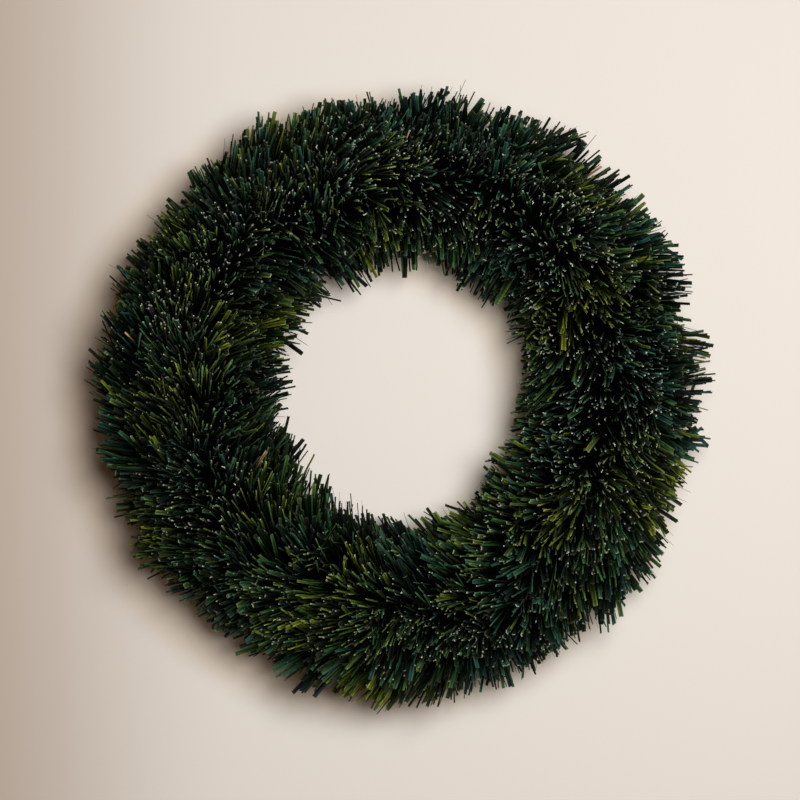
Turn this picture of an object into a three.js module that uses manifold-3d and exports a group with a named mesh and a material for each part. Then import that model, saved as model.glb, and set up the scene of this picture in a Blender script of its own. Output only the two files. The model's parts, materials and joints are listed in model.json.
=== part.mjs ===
// A natural fiber wreath: green-dyed grass stalks, cut to length, pinched in bunches between two
// twisted wires and fanned out all round them. Seen from the front, they all lean clockwise. It
// lies on its back, which is trimmed flat.
// Millimetres, +Z up. The ring's axis is Z, and +Y is the side that is uppermost when it hangs.
import * as THREE from 'three';
import { mergeVertices } from 'three/addons/utils/BufferGeometryUtils.js';
import Module from 'manifold-3d';

// Wire ring
const RING_RADIUS = 216;
const RING_RISE = 6;
const RING_OVAL = 2.6;
const RING_OVAL_TURN = THREE.MathUtils.degToRad(71);
const RING_LOBES = 3;
const RING_LOBE_HEIGHT = 2;
const RING_LOBE_TURN = THREE.MathUtils.degToRad(43);
const RING_HEIGHT = 64;

// Trimmed outline of the stalks round the wires
const TUBE_RADIUS = 88.7;
const TUBE_SAG = 0.9;
const TUBE_OVAL = 2.4;
const TRIM_WAVES = 7;
const TRIM_WAVE_HEIGHT = 2.1;
const TRIM_WAVE_TURN = THREE.MathUtils.degToRad(9);

// Bunches
const BUNCH_COUNT = 30;
const STALKS_PER_BUNCH = 34;
const BUNCH_GAP_TURN = 0.0036;
const PACKED_SHARE = 0.66;
const PACKED_SIDES = 9;
const PACKED_STEPS = 2;
const PACKED_PINCH = 0.15;
const PACKED_ROUGHNESS = 0.09;
const PINCH_POINT_SHIFT = 0.2;
const OLIVE_TURNS = [25, 150, 210, 258, 336].map((turn) => THREE.MathUtils.degToRad(turn));
const OLIVE_SPREAD = THREE.MathUtils.degToRad(8);

// Stalks
const STALK_WIDTH = 4.2;
const STALK_THICKNESS = 1.8;
const STALK_ROOT_SHARE = 0.12;
const STALK_MARGIN = 2.6;
const STALK_TILT_SCATTER = 0.5;
const STALK_TURN_SCATTER = 0.12;
const TRIM_SCATTER = 0.035;
const STALK_LEAN = 0.3;
const LEAN_SWAY = 0.17;
const LEAN_SWAY_TURN = THREE.MathUtils.degToRad(235);
const STRAY_EVERY = 9;
const STRAY_LENGTH = 9;
const BACK_TRIM = 5;
const OFFCUT_WIDTH = 1000;
const OFFCUT_DEPTH = 100;

// Twisted wires and the binding over their joined ends
const WIRE_RADIUS = 1.3;
const WIRE_SIDES = 4;
const TWIST_RADIUS = 1.75;
const TWIST_TURNS = BUNCH_COUNT / 2;
const STEPS_PER_TWIST = 5;
const JOINT_GAP_TURN = 0.004;
const BORE_RADIUS = 4.2;
const BINDING_LENGTH = 24;
const BINDING_WRAPS = 6;
const BINDING_WIRE = 1.2;
const BINDING_BORE = 3.9;
const BINDING_SIDES = 10;
const JOINT_BORE_RADIUS = 6.6;

const SEED = 41;
const SEED_SPREAD = 2654435761;
const STREAM_STEP = 0x6d2b79f5;
const STREAM_SIZE = 2 ** 32;
const GOLDEN_SHARE = (Math.sqrt(5) - 1) / 2;

// Corners closer together than this are one
const SAME_PLACE = 1e-4;

const wasm = await Module();
wasm.setup();

// A repeatable stream of numbers from 0 to 1
function seededStream(seed) {
	let state = seed * SEED_SPREAD >>> 0;
	return () => {
		state = state + STREAM_STEP >>> 0;
		let mixed = Math.imul(state ^ state >>> 15, state | 1);
		mixed ^= mixed + Math.imul(mixed ^ mixed >>> 7, mixed | 61);
		return ((mixed ^ mixed >>> 14) >>> 0) / STREAM_SIZE;
	};
}

// The wire ring is bent by hand: a little high, a little longer one way than the other, and a
// little flattened on three sides
function ringRadius(turn) {
	const rise = RING_RISE * Math.sin(turn);
	const oval = RING_OVAL * Math.cos(2 * (turn - RING_OVAL_TURN));
	const lobe = RING_LOBE_HEIGHT * Math.cos(RING_LOBES * (turn - RING_LOBE_TURN));
	return RING_RADIUS + rise + oval + lobe;
}

// How far the trimmed stalks reach from the wires
function tubeRadius(turn) {
	const sag = TUBE_SAG * Math.sin(turn);
	const oval = TUBE_OVAL * Math.cos(2 * turn);
	const wave = TRIM_WAVE_HEIGHT * Math.cos(TRIM_WAVES * (turn - TRIM_WAVE_TURN));
	return TUBE_RADIUS - sag + oval + wave;
}

// The same reach in one direction round the wires, with the back cut off flat
function reach(turn, tilt) {
	const full = tubeRadius(turn);
	const drop = -Math.sin(tilt);
	return drop * full > RING_HEIGHT ? RING_HEIGHT / drop : full;
}

// A point beside the wire ring, so far outwards and so far up
function ringPoint(turn, outwards, up) {
	const radius = ringRadius(turn) + outwards;
	return new THREE.Vector3(radius * Math.cos(turn), radius * Math.sin(turn), RING_HEIGHT + up);
}

// Where a stalk that leaves the wires at a turn has got to, so far outwards and so far up
function leant(turn, outwards, up) {
	const lean = STALK_LEAN + LEAN_SWAY * Math.cos(turn - LEAN_SWAY_TURN);
	return turn - lean * Math.hypot(outwards, up) / (ringRadius(turn) + outwards);
}

// Bends a straight tube of length 1 round the ring, leaning as the stalks do: x becomes outwards,
// y goes along the ring, and z becomes up
function bendRound(geometry, fromTurn, toTurn) {
	const position = geometry.getAttribute('position');
	for (let i = 0; i < position.count; i++) {
		const outwards = position.getX(i);
		const up = position.getZ(i);
		const turn = THREE.MathUtils.lerp(fromTurn, toTurn, position.getY(i));
		const point = ringPoint(leant(turn, outwards, up), outwards, up);
		position.setXYZ(i, point.x, point.y, point.z);
	}
	return geometry;
}

// A shape with so many corners round its middle, each as far out as the rule says
function roundShape(sides, radiusAt) {
	const corners = [];
	for (let i = 0; i < sides; i++) {
		const tilt = Math.PI * (2 * i + 1) / sides;
		const radius = radiusAt(tilt);
		corners.push(new THREE.Vector2(radius * Math.cos(tilt), radius * Math.sin(tilt)));
	}
	return new THREE.Shape(corners);
}

// A closed geometry as a solid that can be joined and cut
function toSolid(geometry) {
	const bare = geometry.clone();
	bare.deleteAttribute('normal');
	bare.deleteAttribute('uv');
	const merged = mergeVertices(bare, SAME_PLACE);
	return new wasm.Manifold(new wasm.Mesh({
		numProp: 3,
		vertProperties: merged.getAttribute('position').array,
		triVerts: new Uint32Array(merged.index.array),
	}));
}

function toGeometry(solid) {
	const { vertProperties, triVerts } = solid.getMesh();
	const geometry = new THREE.BufferGeometry();
	geometry.setAttribute('position', new THREE.BufferAttribute(vertProperties, 3));
	geometry.setIndex(new THREE.BufferAttribute(triVerts, 1));
	return geometry;
}

// The middle of a bunch, where the stalks lie too close for light to come through. It is thickest
// half way along, and the wires run through its bore.
function packedStalks(fromTurn, toTurn, boreRadius, random) {
	const middle = (fromTurn + toTurn) / 2;
	const shares = [];
	for (let i = 0; i < PACKED_SIDES; i++) {
		const tilt = Math.PI / 2 - 2 * Math.PI * i / PACKED_SIDES;
		const rough = 1 + PACKED_ROUGHNESS * (2 * random() - 1);
		shares.push(PACKED_SHARE * rough * reach(middle, tilt) / TUBE_RADIUS);
	}
	const profile = [];
	for (let i = 0; i <= PACKED_STEPS; i++) {
		profile.push(new THREE.Vector2(TUBE_RADIUS, i / PACKED_STEPS));
	}
	for (let i = PACKED_STEPS; i >= 0; i--) {
		profile.push(new THREE.Vector2(boreRadius, i / PACKED_STEPS));
	}
	profile.push(profile[0].clone());
	const straight = new THREE.LatheGeometry(profile, PACKED_SIDES);
	const position = straight.getAttribute('position');
	for (let i = 0; i < position.count; i++) {
		const corner = new THREE.Vector3().fromBufferAttribute(position, i);
		const side = Math.floor(i / profile.length) % PACKED_SIDES;
		const onBore = Math.hypot(corner.x, corner.z) < TUBE_RADIUS / 2;
		const size = onBore ? 1 : shares[side] * (1 - PACKED_PINCH * (2 * corner.y - 1) ** 2);
		position.setXYZ(i, corner.x * size, corner.y, corner.z * size);
	}
	return toSolid(bendRound(straight, fromTurn, toTurn));
}

// One flat-sided stalk, from the point where it is pinched to its square-cut tip, turned by roll
function stalk(root, tip, roll) {
	const along = tip.clone().sub(root).normalize();
	const side = new THREE.Vector3(0, 0, 1).cross(along).normalize().applyAxisAngle(along, roll);
	const face = along.clone().cross(side);
	const corner = (across, above) => tip.clone()
		.addScaledVector(side, across * STALK_WIDTH)
		.addScaledVector(face, above * STALK_THICKNESS);
	const geometry = new THREE.BufferGeometry();
	geometry.setFromPoints([root, corner(-0.5, -0.5), corner(0.5, -0.5), corner(0, 0.5)]);
	geometry.setIndex([0, 2, 1, 0, 3, 2, 0, 1, 3, 1, 2, 3]);
	return toSolid(geometry);
}

// The stalks that stand out of one bunch, even all round it, and kept within its own leaning slice
function fannedStalks(fromTurn, toTurn, random) {
	const slice = toTurn - fromTurn;
	const pinch = (fromTurn + toTurn) / 2 + slice * PINCH_POINT_SHIFT * (2 * random() - 1);
	const start = random();
	const solids = [];
	for (let i = 0; i < STALKS_PER_BUNCH; i++) {
		const place = i + start + STALK_TILT_SCATTER * random();
		const even = 2 * Math.PI * place / STALKS_PER_BUNCH;
		const tilt = even - TUBE_RADIUS / RING_RADIUS * Math.sin(even);
		const spread = (i * GOLDEN_SHARE + start + STALK_TURN_SCATTER * random()) % 1;
		const guess = THREE.MathUtils.lerp(fromTurn, toTurn, spread);
		const tipTurn = leant(guess, TUBE_RADIUS * Math.cos(tilt), TUBE_RADIUS * Math.sin(tilt));
		const tipRadius = ringRadius(tipTurn) + reach(tipTurn, tilt) * Math.cos(tilt);
		const margin = STALK_MARGIN / tipRadius;
		const rootTurn = THREE.MathUtils.lerp(fromTurn + margin, toTurn - margin, spread);
		const scatter = 1 + TRIM_SCATTER * (2 * random() - 1);
		const stray = i % STRAY_EVERY === 0 ? STRAY_LENGTH * random() : 0;
		const full = tubeRadius(tipTurn) * scatter + stray;
		const drop = -Math.sin(tilt);
		const trimmed = drop > 0 ? Math.min(full, (RING_HEIGHT + BACK_TRIM) / drop) : full;
		const outwards = trimmed * Math.cos(tilt);
		const up = trimmed * Math.sin(tilt);
		const tip = ringPoint(leant(rootTurn, outwards, up), outwards, up);
		const root = ringPoint(pinch, 0, 0).lerp(tip, STALK_ROOT_SHARE);
		solids.push(stalk(root, tip, Math.PI * random()));
	}
	return solids;
}

// Everything below the surface that the wreath lies on
const offcut = new THREE.BoxGeometry(OFFCUT_WIDTH, OFFCUT_WIDTH, OFFCUT_DEPTH);
const belowBack = toSolid(offcut.translate(0, 0, -OFFCUT_DEPTH / 2));

function makeBunch(index) {
	const random = seededStream(SEED + index);
	const slice = 2 * Math.PI / BUNCH_COUNT;
	const fromTurn = slice * index + BUNCH_GAP_TURN / 2;
	const toTurn = slice * (index + 1) - BUNCH_GAP_TURN / 2;
	const boreRadius = index === 0 ? JOINT_BORE_RADIUS : BORE_RADIUS;
	let solid = packedStalks(fromTurn, toTurn, boreRadius, random);
	for (const one of fannedStalks(fromTurn, toTurn, random)) {
		solid = solid.add(one);
	}
	return toGeometry(solid.subtract(belowBack));
}

// One of the two wires: it winds about the ring's middle line, from one side of the joint to the other
class WireStrand extends THREE.Curve {
	constructor(phase, jointTurn) {
		super();
		this.phase = phase;
		this.jointTurn = jointTurn;
	}

	getPoint(t, target = new THREE.Vector3()) {
		const share = THREE.MathUtils.lerp(JOINT_GAP_TURN, 1 - JOINT_GAP_TURN, t);
		const turn = this.jointTurn + 2 * Math.PI * share;
		const twist = this.phase + 2 * Math.PI * TWIST_TURNS * t;
		const outwards = TWIST_RADIUS * Math.cos(twist);
		const up = TWIST_RADIUS * Math.sin(twist);
		return target.copy(ringPoint(turn, outwards, up));
	}
}

function wireStrand(phase, jointTurn) {
	return new THREE.ExtrudeGeometry(roundShape(WIRE_SIDES, () => WIRE_RADIUS), {
		extrudePath: new WireStrand(phase, jointTurn),
		steps: TWIST_TURNS * STEPS_PER_TWIST,
		bevelEnabled: false,
	});
}

// Thin wire wound side by side over the joint, as one ridged sleeve
function bindingWire(jointTurn) {
	const half = BINDING_LENGTH / 2;
	const profile = [new THREE.Vector2(BINDING_BORE, -half)];
	for (let i = 0; i < BINDING_WRAPS; i++) {
		const low = THREE.MathUtils.lerp(-half, half, i / BINDING_WRAPS);
		const middle = THREE.MathUtils.lerp(-half, half, (i + 0.5) / BINDING_WRAPS);
		profile.push(new THREE.Vector2(BINDING_BORE + BINDING_WIRE / 2, low));
		profile.push(new THREE.Vector2(BINDING_BORE + BINDING_WIRE, middle));
	}
	profile.push(new THREE.Vector2(BINDING_BORE + BINDING_WIRE / 2, half));
	profile.push(new THREE.Vector2(BINDING_BORE, half));
	profile.push(profile[0].clone());
	const geometry = new THREE.LatheGeometry(profile, BINDING_SIDES);
	const halfTurn = half / RING_RADIUS;
	const from = ringPoint(jointTurn - halfTurn, 0, 0);
	const to = ringPoint(jointTurn + halfTurn, 0, 0);
	const middle = from.clone().lerp(to, 0.5);
	const lie = Math.atan2(to.y - from.y, to.x - from.x);
	return geometry.rotateZ(lie - Math.PI / 2).translate(middle.x, middle.y, middle.z);
}

const wireSteel = { color: 0x5d5f5c, roughness: 0.45, metalness: 1 };
const deepGreenGrass = { color: 0x1f2f22, roughness: 0.6, metalness: 0 };
const oliveGrass = { color: 0x3b4526, roughness: 0.62, metalness: 0 };

// Some bunches were cut from yellower grass
function isOlive(index) {
	const middle = 2 * Math.PI * (index + 0.5) / BUNCH_COUNT;
	const ridge = leant(middle, 0, TUBE_RADIUS);
	return OLIVE_TURNS.some((turn) => Math.abs(turn - ridge) < OLIVE_SPREAD);
}

function addPiece(group, name, geometry, finish) {
	const mesh = new THREE.Mesh(geometry, new THREE.MeshStandardMaterial(finish));
	mesh.name = name;
	group.add(mesh);
}

const ring = new THREE.Group();
const jointTurn = Math.PI / BUNCH_COUNT;
addPiece(ring, 'core_wire_a', wireStrand(0, jointTurn), wireSteel);
addPiece(ring, 'core_wire_b', wireStrand(Math.PI, jointTurn), wireSteel);
addPiece(ring, 'joint_binding', bindingWire(jointTurn), wireSteel);
for (let i = 0; i < BUNCH_COUNT; i++) {
	const name = `bunch_${String(i + 1).padStart(2, '0')}`;
	addPiece(ring, name, makeBunch(i), isOlive(i) ? oliveGrass : deepGreenGrass);
}

// The origin is on the surface, under the middle of the whole wreath
const middle = new THREE.Box3().setFromObject(ring, true).getCenter(new THREE.Vector3());
ring.position.set(-middle.x, -middle.y, 0);

const wreath = new THREE.Group();
wreath.add(ring);

export default wreath;
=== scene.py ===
"""A natural fiber wreath: dyed grass stalks, pinched in bunches between two twisted wires, fanned
out all round them and trimmed. It lies on its back, which is cut off flat. Metres, +Z up.

Each bunch of the frame is replaced by one finer bunch of several hundred stalks: flat grooved
blades, hollow reeds and a few thin wisps. The wires and the binding of the frame stay.

A turn is an angle round the ring, from +X. A tilt is an angle round the wires, where 0 points
outwards and a quarter turn points up.
"""
import json
import math

import bpy
import numpy as np
from bpy.props import (
    FloatProperty,
    FloatVectorProperty,
    IntProperty,
    PointerProperty,
)
from bpy.types import Operator, Panel, PropertyGroup
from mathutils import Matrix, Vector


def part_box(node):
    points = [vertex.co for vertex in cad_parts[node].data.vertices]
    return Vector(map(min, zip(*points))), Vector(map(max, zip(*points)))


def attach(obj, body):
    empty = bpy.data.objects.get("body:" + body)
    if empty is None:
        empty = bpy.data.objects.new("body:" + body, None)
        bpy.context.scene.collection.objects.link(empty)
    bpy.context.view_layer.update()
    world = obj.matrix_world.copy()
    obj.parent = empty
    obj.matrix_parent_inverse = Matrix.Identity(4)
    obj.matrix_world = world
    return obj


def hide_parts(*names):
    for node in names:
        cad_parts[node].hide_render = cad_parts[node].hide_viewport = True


bl_info = {
    "name": "Natural fiber wreath",
    "version": (1, 0, 0),
    "blender": (4, 5, 0),
    "location": "View3D > Sidebar > Wreath",
    "description": "Dresses a packed wreath with bunches of dyed grass stalks",
    "category": "Add Mesh",
}

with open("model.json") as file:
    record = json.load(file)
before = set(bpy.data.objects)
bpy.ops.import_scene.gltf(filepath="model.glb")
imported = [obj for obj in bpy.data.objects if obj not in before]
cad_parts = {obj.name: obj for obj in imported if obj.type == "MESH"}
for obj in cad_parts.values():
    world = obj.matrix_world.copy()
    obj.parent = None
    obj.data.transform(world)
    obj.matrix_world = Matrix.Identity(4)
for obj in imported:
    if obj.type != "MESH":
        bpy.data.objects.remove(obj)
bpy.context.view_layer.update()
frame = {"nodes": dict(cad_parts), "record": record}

WIRE_NODES = ("core_wire_a", "core_wire_b")
BINDING_NODE = "joint_binding"
BUNCH_NODES = sorted(name for name in frame["nodes"] if name.startswith("bunch_"))
BUNCH_TURN = math.tau / len(BUNCH_NODES)
SLOT_OF_NODE = {part["node"]: part["material_slot"] for part in frame["record"]["subparts"]}
OLIVE_SLOT = "olive_grass"
GOLDEN_SHARE = (math.sqrt(5) - 1) / 2
SEED = 41
PACKED_SEED = 7 * SEED
BUNCH_SEED_STEP = 10

# Wire ring and trimmed outline, as in the frame
RING_RADIUS = 0.216
RING_RISE = 0.006
RING_OVAL = 0.0026
RING_OVAL_TURN = math.radians(71)
RING_LOBES = 3
RING_LOBE_HEIGHT = 0.002
RING_LOBE_TURN = math.radians(43)
RING_HEIGHT = 0.064
RING_POINTS = 1441
TUBE_RADIUS = 0.0887
TUBE_SAG = 0.0009
TUBE_OVAL = 0.0024
TRIM_WAVES = 7
TRIM_WAVE_HEIGHT = 0.0021
TRIM_WAVE_TURN = math.radians(9)
STALK_LEAN = 0.3
LEAN_SWAY = 0.17
LEAN_SWAY_TURN = math.radians(235)

# Kinds of stalk, as shares of the stalks. Some tufts have more reeds than others
BLADE, REED, WISP = range(3)
WISP_SHARE = 0.07
REED_SHARE = 0.2
REED_SHARE_ON_TOP = 0.4
REEDY_TUFT_SHARE = 0.33
REEDY_TUFT_REEDS = 0.42

# Directions. Chances are how far values differ, as a standard deviation
PINCH_SPAN = (0.3, 0.7)
LEAN_PHASE = 0.4
ROLL_PHASE = 5.1
LEAN_WANDERING = 1.5
TUFT_LEAN_CHANCE = 0.45
LEAN_INSIDE = 0.14
OVER_TILT = math.radians(30)
UPRIGHT_TURN = math.radians(25)
TUFT_FAN = 0.5
AIM_CHANCE = 0.065
ASTRAY_CHANCE = 0.7
ASTRAY_LIMIT = 0.8

# Lengths. Each is mixed from the tuft's own share and a share of chance, and outside it follows
# the tuft more
BY_TUFT = 0.6
BY_TUFT_OUTSIDE = 0.12
LENGTH_CURVE = 0.92
REACH = 1.005
REACH_LESS_OUTSIDE = 0.017
STRAY_SHARE = 0.022
SHORTEST_STRAY = 0.3
SHORTEST_STALK = 0.012
ROOT_REACH = 0.8
LEAST_STRAIGHT = 0.5

# Stalks that point further down than this share of their length are thinned, and a level one is
# taken to rise or drop by the smallest share, which is never 0
THINNED_BELOW = -0.1
NEARLY_LEVEL = 1e-6

# Above this height over the wires the stalks are trimmed by most of what stands higher
TOP_HEIGHT = 0.095
TOP_TRIM = 0.72

# Slow waves over the whole wreath: waves round the ring, waves round the wires, what a wave makes
# of the phase, and its height
WANDERING_WAVES = ((5, 1.3, 1.0, 1.0), (11, -2.0, 2.1, 0.8), (7, 3.0, 4.7, 0.6))
WANDERING_HEIGHT = 2.4

# Hues run from 0 for teal to 1 for olive
HUE_PHASE = 2.6
HUE_MEAN = 0.37
HUE_LESS_OUTSIDE = 0.06
HUE_WANDERING = 0.4
HUE_AT_OLIVE = 0.28
OLIVE_SPREAD = 0.7
TUFT_HUE_CHANCE = 0.13
STALK_HUE_CHANCE = 0.17
STRAW_SHARE = 0.0015

# Painted shade and light by place: stalks get darker or lighter dye shades, and more or fewer pale ends,
# standing in for how light falls on each side. A pair is how much, and the turn where it is most
DARK_INWARDS = 0.4
DARK_OVER = 0.25
DARK_INSIDE = (0.75, math.radians(160))
DARK_OUTSIDE = (0.2, math.radians(50))
DARK_ON_TOP = (0.2, math.radians(110))
TUFT_DARK_CHANCE = 0.32
PALE_SHARE = 0.19
PALE_SHARE_ON_TOP = 0.16
PALE_INWARDS = 0.6
PALE_INSIDE = (1.4, math.radians(15))
PALE_OUTWARDS = 0.95
PALE_OUTSIDE = (0.7, math.radians(220))
PALE_INSIDE_ON_TOP = (1.1, math.radians(345))
TUFT_PALE_MEAN = -0.3
TUFT_PALE_CHANCE = 0.8
PALE_BLADES = 0.4
PALE_ROUND_STALKS = 1.6

# Each shade of a dye, dark to light: its tint, and the bare grass that shows through
SHADE_TINTS = (
    (np.array((0.128, 0.194, 0.192)), 0),
    (np.array((0.2886, 0.3663, 0.3626)), 0),
    (2.15, np.array((0.0075, 0.009, 0.0052))),
)
TEAL_TO_GREEN = (0, 0.5)
GREEN_TO_OLIVE = (0, 0.15, 0.4, 0.7, 1)

# The dye map: each shade of each hue, and last straw, has a dull-ended and a pale-ended column.
# The way along a stalk goes up its column, to the cut and then over the cut face. The whole map
# is as high as its span of stalk is long
DYE_MAP = "OFBake"
HUES = len(TEAL_TO_GREEN) + len(GREEN_TO_OLIVE) + 1
SHADES = len(SHADE_TINTS)
ENDS = 2
DYES = HUES * SHADES * ENDS
COLUMN_MARGIN = 0.05
CUT_LEVEL = 0.96
MAP_SPAN = 0.12

# How far along a stalk of length 1 its root widens and a broken one is folded. Past 1 it is on
# the cut: the rim, the middle of a flat end with its change across, and the bottom of a hollow
ROOT_LEVEL = 0.12
BREAK_LEVEL = 0.7
RIM_LEVEL = 1
FACE_LEVEL = 1.35
FACE_SLOPE = 0.9
HOLLOW_LEVEL = 2
REED_HOLLOW = 0.04

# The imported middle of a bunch
PACKED_GAP = 0.001
PACKED_BORE = 0.0072
PACKED_STEPS = 4
PACKED_SIDES = 20
PACKED_UNEVEN = (0.93, 1.05)


def ring_radius(turn):
    """How far the wires are from the ring's axis."""
    rise = RING_RISE * np.sin(turn)
    oval = RING_OVAL * np.cos(2 * (turn - RING_OVAL_TURN))
    lobe = RING_LOBE_HEIGHT * np.cos(RING_LOBES * (turn - RING_LOBE_TURN))
    return RING_RADIUS + rise + oval + lobe


def tube_radius(turn):
    """How far the trimmed stalks reach from the wires."""
    sag = TUBE_SAG * np.sin(turn)
    oval = TUBE_OVAL * np.cos(2 * turn)
    wave = TRIM_WAVE_HEIGHT * np.cos(TRIM_WAVES * (turn - TRIM_WAVE_TURN))
    return TUBE_RADIUS - sag + oval + wave


def leant(turn, outwards, up):
    """Where a stalk that leaves the wires at a turn has got to, so far outwards and so far up."""
    lean = STALK_LEAN + LEAN_SWAY * np.cos(turn - LEAN_SWAY_TURN)
    return turn - lean * np.hypot(outwards, up) / (ring_radius(turn) + outwards)


def ring_point(turn, outwards, up):
    """Points beside the wires, from the middle of the ring's own formula."""
    radius = ring_radius(turn) + outwards
    height = np.broadcast_to(RING_HEIGHT + up, np.shape(radius))
    return np.stack([radius * np.cos(turn), radius * np.sin(turn), height], -1)


def ring_middle():
    """Where the frame has the middle of the ring's formula, from where its wires lie."""
    corners = np.array([corner for name in WIRE_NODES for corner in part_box(name)])
    line = ring_point(np.linspace(0, math.tau, RING_POINTS), 0, 0)
    middle = (corners.min(0) + corners.max(0) - line.min(0) - line.max(0)) / 2
    middle[2] = 0
    return middle


def unit(vectors):
    """The same directions with a length of 1."""
    return vectors / np.linalg.norm(vectors, axis=-1, keepdims=True)


def ring_axes(turn):
    """The ways outwards, along the ring and up at each turn."""
    zero = np.zeros_like(turn)
    outwards = np.stack([np.cos(turn), np.sin(turn), zero], -1)
    along = np.stack([-np.sin(turn), np.cos(turn), zero], -1)
    up = np.stack([zero, zero, zero + 1], -1)
    return outwards, along, up


# Settings that a user would change

class WreathCut(PropertyGroup):
    tufts: IntProperty(
        name="Tufts", description="Tufts of stalks that share a direction, in each bunch",
        default=70, min=8, max=200)
    stalks: IntProperty(
        name="Stalks", description="Stalks in each tuft, before those below are thinned",
        default=13, min=3, max=40)
    tuft_size: FloatProperty(
        name="Tuft size", description="How far a tuft's tips spread from its middle",
        default=0.0083, unit="LENGTH", subtype="DISTANCE")
    shortest: FloatProperty(
        name="Shortest", description="The shortest stalks as a share of the trimmed reach",
        default=0.66, min=0.5, max=1, subtype="FACTOR")
    longest: FloatProperty(
        name="Longest", description="The longest trimmed stalks as a share of the trimmed reach",
        default=1.18, min=0.9, max=1.25, subtype="FACTOR")
    stray: FloatProperty(
        name="Stray", description="How far the longest wisps stand out of the trimmed outline",
        default=0.013, unit="LENGTH", subtype="DISTANCE")
    lean: FloatProperty(
        name="Lean", description="How far tufts lean away from the wires' own fan",
        default=math.radians(15), unit="ROTATION", subtype="ANGLE")
    over: FloatProperty(
        name="Over", description="How much further the stalks on top and outside lean clockwise",
        default=0.13, unit="ROTATION", subtype="ANGLE")
    upright: FloatProperty(
        name="Upright", description="How much the stalks inside on the right stand up",
        default=0.45, unit="ROTATION", subtype="ANGLE")
    pinched: FloatProperty(
        name="Pinched", description="How far a bunch's stalks fan out of one point of the wires",
        default=0.28, min=0, max=1, subtype="FACTOR")
    parted: FloatProperty(
        name="Parted", description="How far stalks gather on top and at the sides, with fewer between",
        default=0.2, min=0, max=0.9, subtype="FACTOR")
    topped: FloatProperty(
        name="Topped", description="How far the stalks gather on top, off the sides",
        default=0.13, min=0, max=0.6, subtype="FACTOR")
    below: FloatProperty(
        name="Below", description="Share of the stalks that are kept below the wires",
        default=0.4, min=0.1, max=1, subtype="FACTOR")
    crossed: FloatProperty(
        name="Crossed", description="Share of the stalks that lie astray across the others",
        default=0.04, min=0, max=1, subtype="FACTOR")
    packed: FloatProperty(
        name="Packed share", description="The reach of the packed middle, as a share of the trimmed reach",
        default=0.45, min=0.2, max=0.9, subtype="FACTOR")


class WreathStalks(PropertyGroup):
    blade_width: FloatProperty(
        name="Blade width", description="Width of a flat grooved blade",
        default=0.0038, unit="LENGTH", subtype="DISTANCE")
    reed_width: FloatProperty(
        name="Reed width", description="Width of a hollow reed",
        default=0.0014, unit="LENGTH", subtype="DISTANCE")
    wisp_width: FloatProperty(
        name="Wisp width", description="Width of a thin wisp",
        default=0.0008, unit="LENGTH", subtype="DISTANCE")
    uneven: FloatProperty(
        name="Uneven", description="How far widths differ, as a share",
        default=0.42, min=0, max=0.8, subtype="FACTOR")
    sway: FloatProperty(
        name="Sway", description="How far a stalk's tip bends to one side",
        default=0.0035, unit="LENGTH", subtype="DISTANCE")
    kink: FloatProperty(
        name="Kink", description="How far the tip of a broken stalk is turned aside",
        default=0.009, unit="LENGTH", subtype="DISTANCE")
    broken: FloatProperty(
        name="Broken", description="Share of the stalks that are broken near the tip",
        default=0.05, min=0, max=1, subtype="FACTOR")


class WreathDye(PropertyGroup):
    teal: FloatVectorProperty(
        name="Teal", description="The bluest dye", subtype="COLOR",
        default=(0.0028, 0.0198, 0.0158), min=0, max=1)
    green: FloatVectorProperty(
        name="Deep green", description="The usual dye", subtype="COLOR",
        default=(0.0056, 0.0232, 0.0074), min=0, max=1)
    olive: FloatVectorProperty(
        name="Olive", description="The yellowest dye", subtype="COLOR",
        default=(0.047, 0.057, 0.0011), min=0, max=1)
    straw: FloatVectorProperty(
        name="Straw", description="Grass that took little dye", subtype="COLOR",
        default=(0.13, 0.078, 0.036), min=0, max=1)
    pith: FloatVectorProperty(
        name="Pith", description="The pale inside at a cut end", subtype="COLOR",
        default=(0.57, 0.60, 0.47), min=0, max=1)
    # Painted shade: the packed middle and the bottom of a reed's hollow are coloured nearly black,
    # standing in for the deep shade between the stalks
    packed: FloatVectorProperty(
        name="Packed middle", description="The dark between the stalks", subtype="COLOR",
        default=(0.0005, 0.0008, 0.0005), min=0, max=1)
    steel: FloatVectorProperty(
        name="Steel", description="The wire", subtype="COLOR",
        default=(0.36, 0.37, 0.36), min=0, max=1)


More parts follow.
